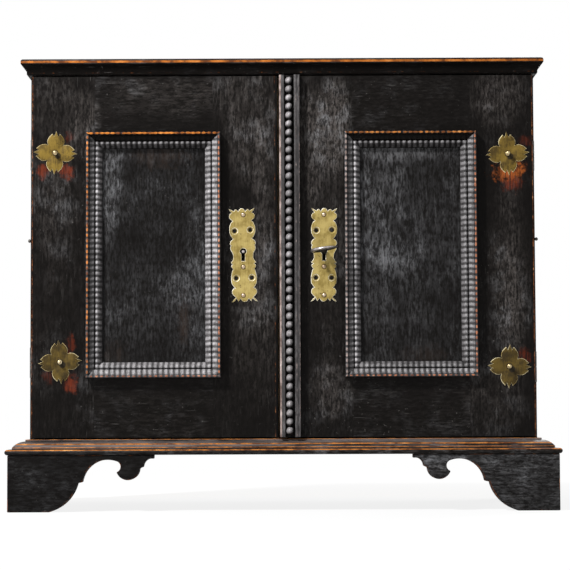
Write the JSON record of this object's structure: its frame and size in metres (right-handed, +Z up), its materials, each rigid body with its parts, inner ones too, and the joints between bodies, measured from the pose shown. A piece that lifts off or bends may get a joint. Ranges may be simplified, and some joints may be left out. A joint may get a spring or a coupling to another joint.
{
  "type": "two-door cabinet",
  "caption": "Low two-door cabinet on scroll-cut bracket feet, with ripple-moulded panels, a beaded meeting strip, pierced lock plates and a key in its lock.",
  "frame": {"origin": "on the floor, under the middle of the whole piece, the key included", "axes": "+X to the viewer's right along the front, +Y to the back, +Z up"},
  "size_m": [0.54, 0.3106, 0.444],
  "materials": {
    "ebonised_wood": "black stained hardwood, waxed, worn to orange brown on its edges",
    "softwood": "bare planed softwood, darkened by age",
    "brass": "thin cut sheet, rubbed bright on the high parts and dull in the low ones",
    "brass_heads": "rounded and polished by handling",
    "iron": "forged, dark brown",
    "key_steel": "filed bright, greyed"
  },
  "bodies": {
    "carcase": {"back_panel": "softwood", "base_moulding_front": "ebonised_wood", "base_moulding_left": "ebonised_wood", "base_moulding_right": "ebonised_wood", "bottom_board": "ebonised_wood", "carcase_head": "ebonised_wood", "carcase_leaves_left": "iron", "carcase_leaves_right": "iron", "cornice_front": "ebonised_wood", "cornice_left": "ebonised_wood", "cornice_right": "ebonised_wood", "foot_blocks": "softwood", "front_bracket_left": "ebonised_wood", "front_bracket_right": "ebonised_wood", "handle_posts_left": "iron", "handle_posts_right": "iron", "hinge_pins_left": "iron", "hinge_pins_right": "iron", "partition": "softwood", "rear_brackets": "softwood", "shelf_left": "softwood", "shelf_right": "softwood", "side_brackets_left": "ebonised_wood", "side_brackets_right": "ebonised_wood", "side_left": "ebonised_wood", "side_right": "ebonised_wood", "top_board": "ebonised_wood"},
    "door_left": {"door_straps_left": "iron", "escutcheon_left": "brass", "escutcheon_nails_left": "brass_heads", "inner_stile_left": "ebonised_wood", "lock_case_left": "iron", "lower_rail_left": "ebonised_wood", "outer_stile_left": "ebonised_wood", "panel_left": "ebonised_wood", "ripple_rails_left": "ebonised_wood", "ripple_uprights_left": "ebonised_wood", "rosette_rivets_left": "brass_heads", "rosettes_left": "brass", "upper_rail_left": "ebonised_wood"},
    "door_right": {"beaded_strip": "ebonised_wood", "door_straps_right": "iron", "escutcheon_nails_right": "brass_heads", "escutcheon_right": "brass", "inner_stile_right": "ebonised_wood", "lock_case_right": "iron", "lower_rail_right": "ebonised_wood", "outer_stile_right": "ebonised_wood", "panel_right": "ebonised_wood", "ripple_rails_right": "ebonised_wood", "ripple_uprights_right": "ebonised_wood", "rosette_rivets_right": "brass_heads", "rosettes_right": "brass", "upper_rail_right": "ebonised_wood"},
    "lock_bolt_left": {"lock_bolt_left": "iron"},
    "lock_bolt_right": {"lock_bolt_right": "iron"},
    "key": {"key": "key_steel"},
    "bail_left": {"handle_bail_left": "iron"},
    "bail_right": {"handle_bail_right": "iron"}
  },
  "joints": [
    {"name": "door_left_hinge", "type": "hinge", "parent": "carcase", "child": "door_left", "pos_m": [-0.2485, -0.10385, 0.249], "axis": [0, 0, -1], "range_deg": [0, 175]},
    {"name": "door_right_hinge", "type": "hinge", "parent": "carcase", "child": "door_right", "pos_m": [0.2485, -0.10385, 0.249], "axis": [0, 0, 1], "range_deg": [0, 175]},
    {"name": "key_turn", "type": "hinge", "parent": "door_right", "child": "key", "pos_m": [0.0405, -0.12, 0.2535], "axis": [0, -1, 0], "range_deg": [0, 180]},
    {"name": "bolt_right_slide", "type": "slide", "parent": "door_right", "child": "lock_bolt_right", "axis": [-1, 0, 0], "range_m": [0, 0.008]},
    {"name": "bolt_left_slide", "type": "slide", "parent": "door_left", "child": "lock_bolt_left", "axis": [1, 0, 0], "range_m": [0, 0.008]},
    {"name": "bail_left_swing", "type": "hinge", "parent": "carcase", "child": "bail_left", "pos_m": [-0.2572, 0.02585, 0.274], "axis": [0, 1, 0], "range_deg": [-10, 150]},
    {"name": "bail_right_swing", "type": "hinge", "parent": "carcase", "child": "bail_right", "pos_m": [0.2572, 0.02585, 0.274], "axis": [0, -1, 0], "range_deg": [-10, 150]}
  ],
  "couplings": [
    {"joint": "bolt_right_slide", "follows": "key_turn", "m_per_rad": 0.002546}
  ]
}
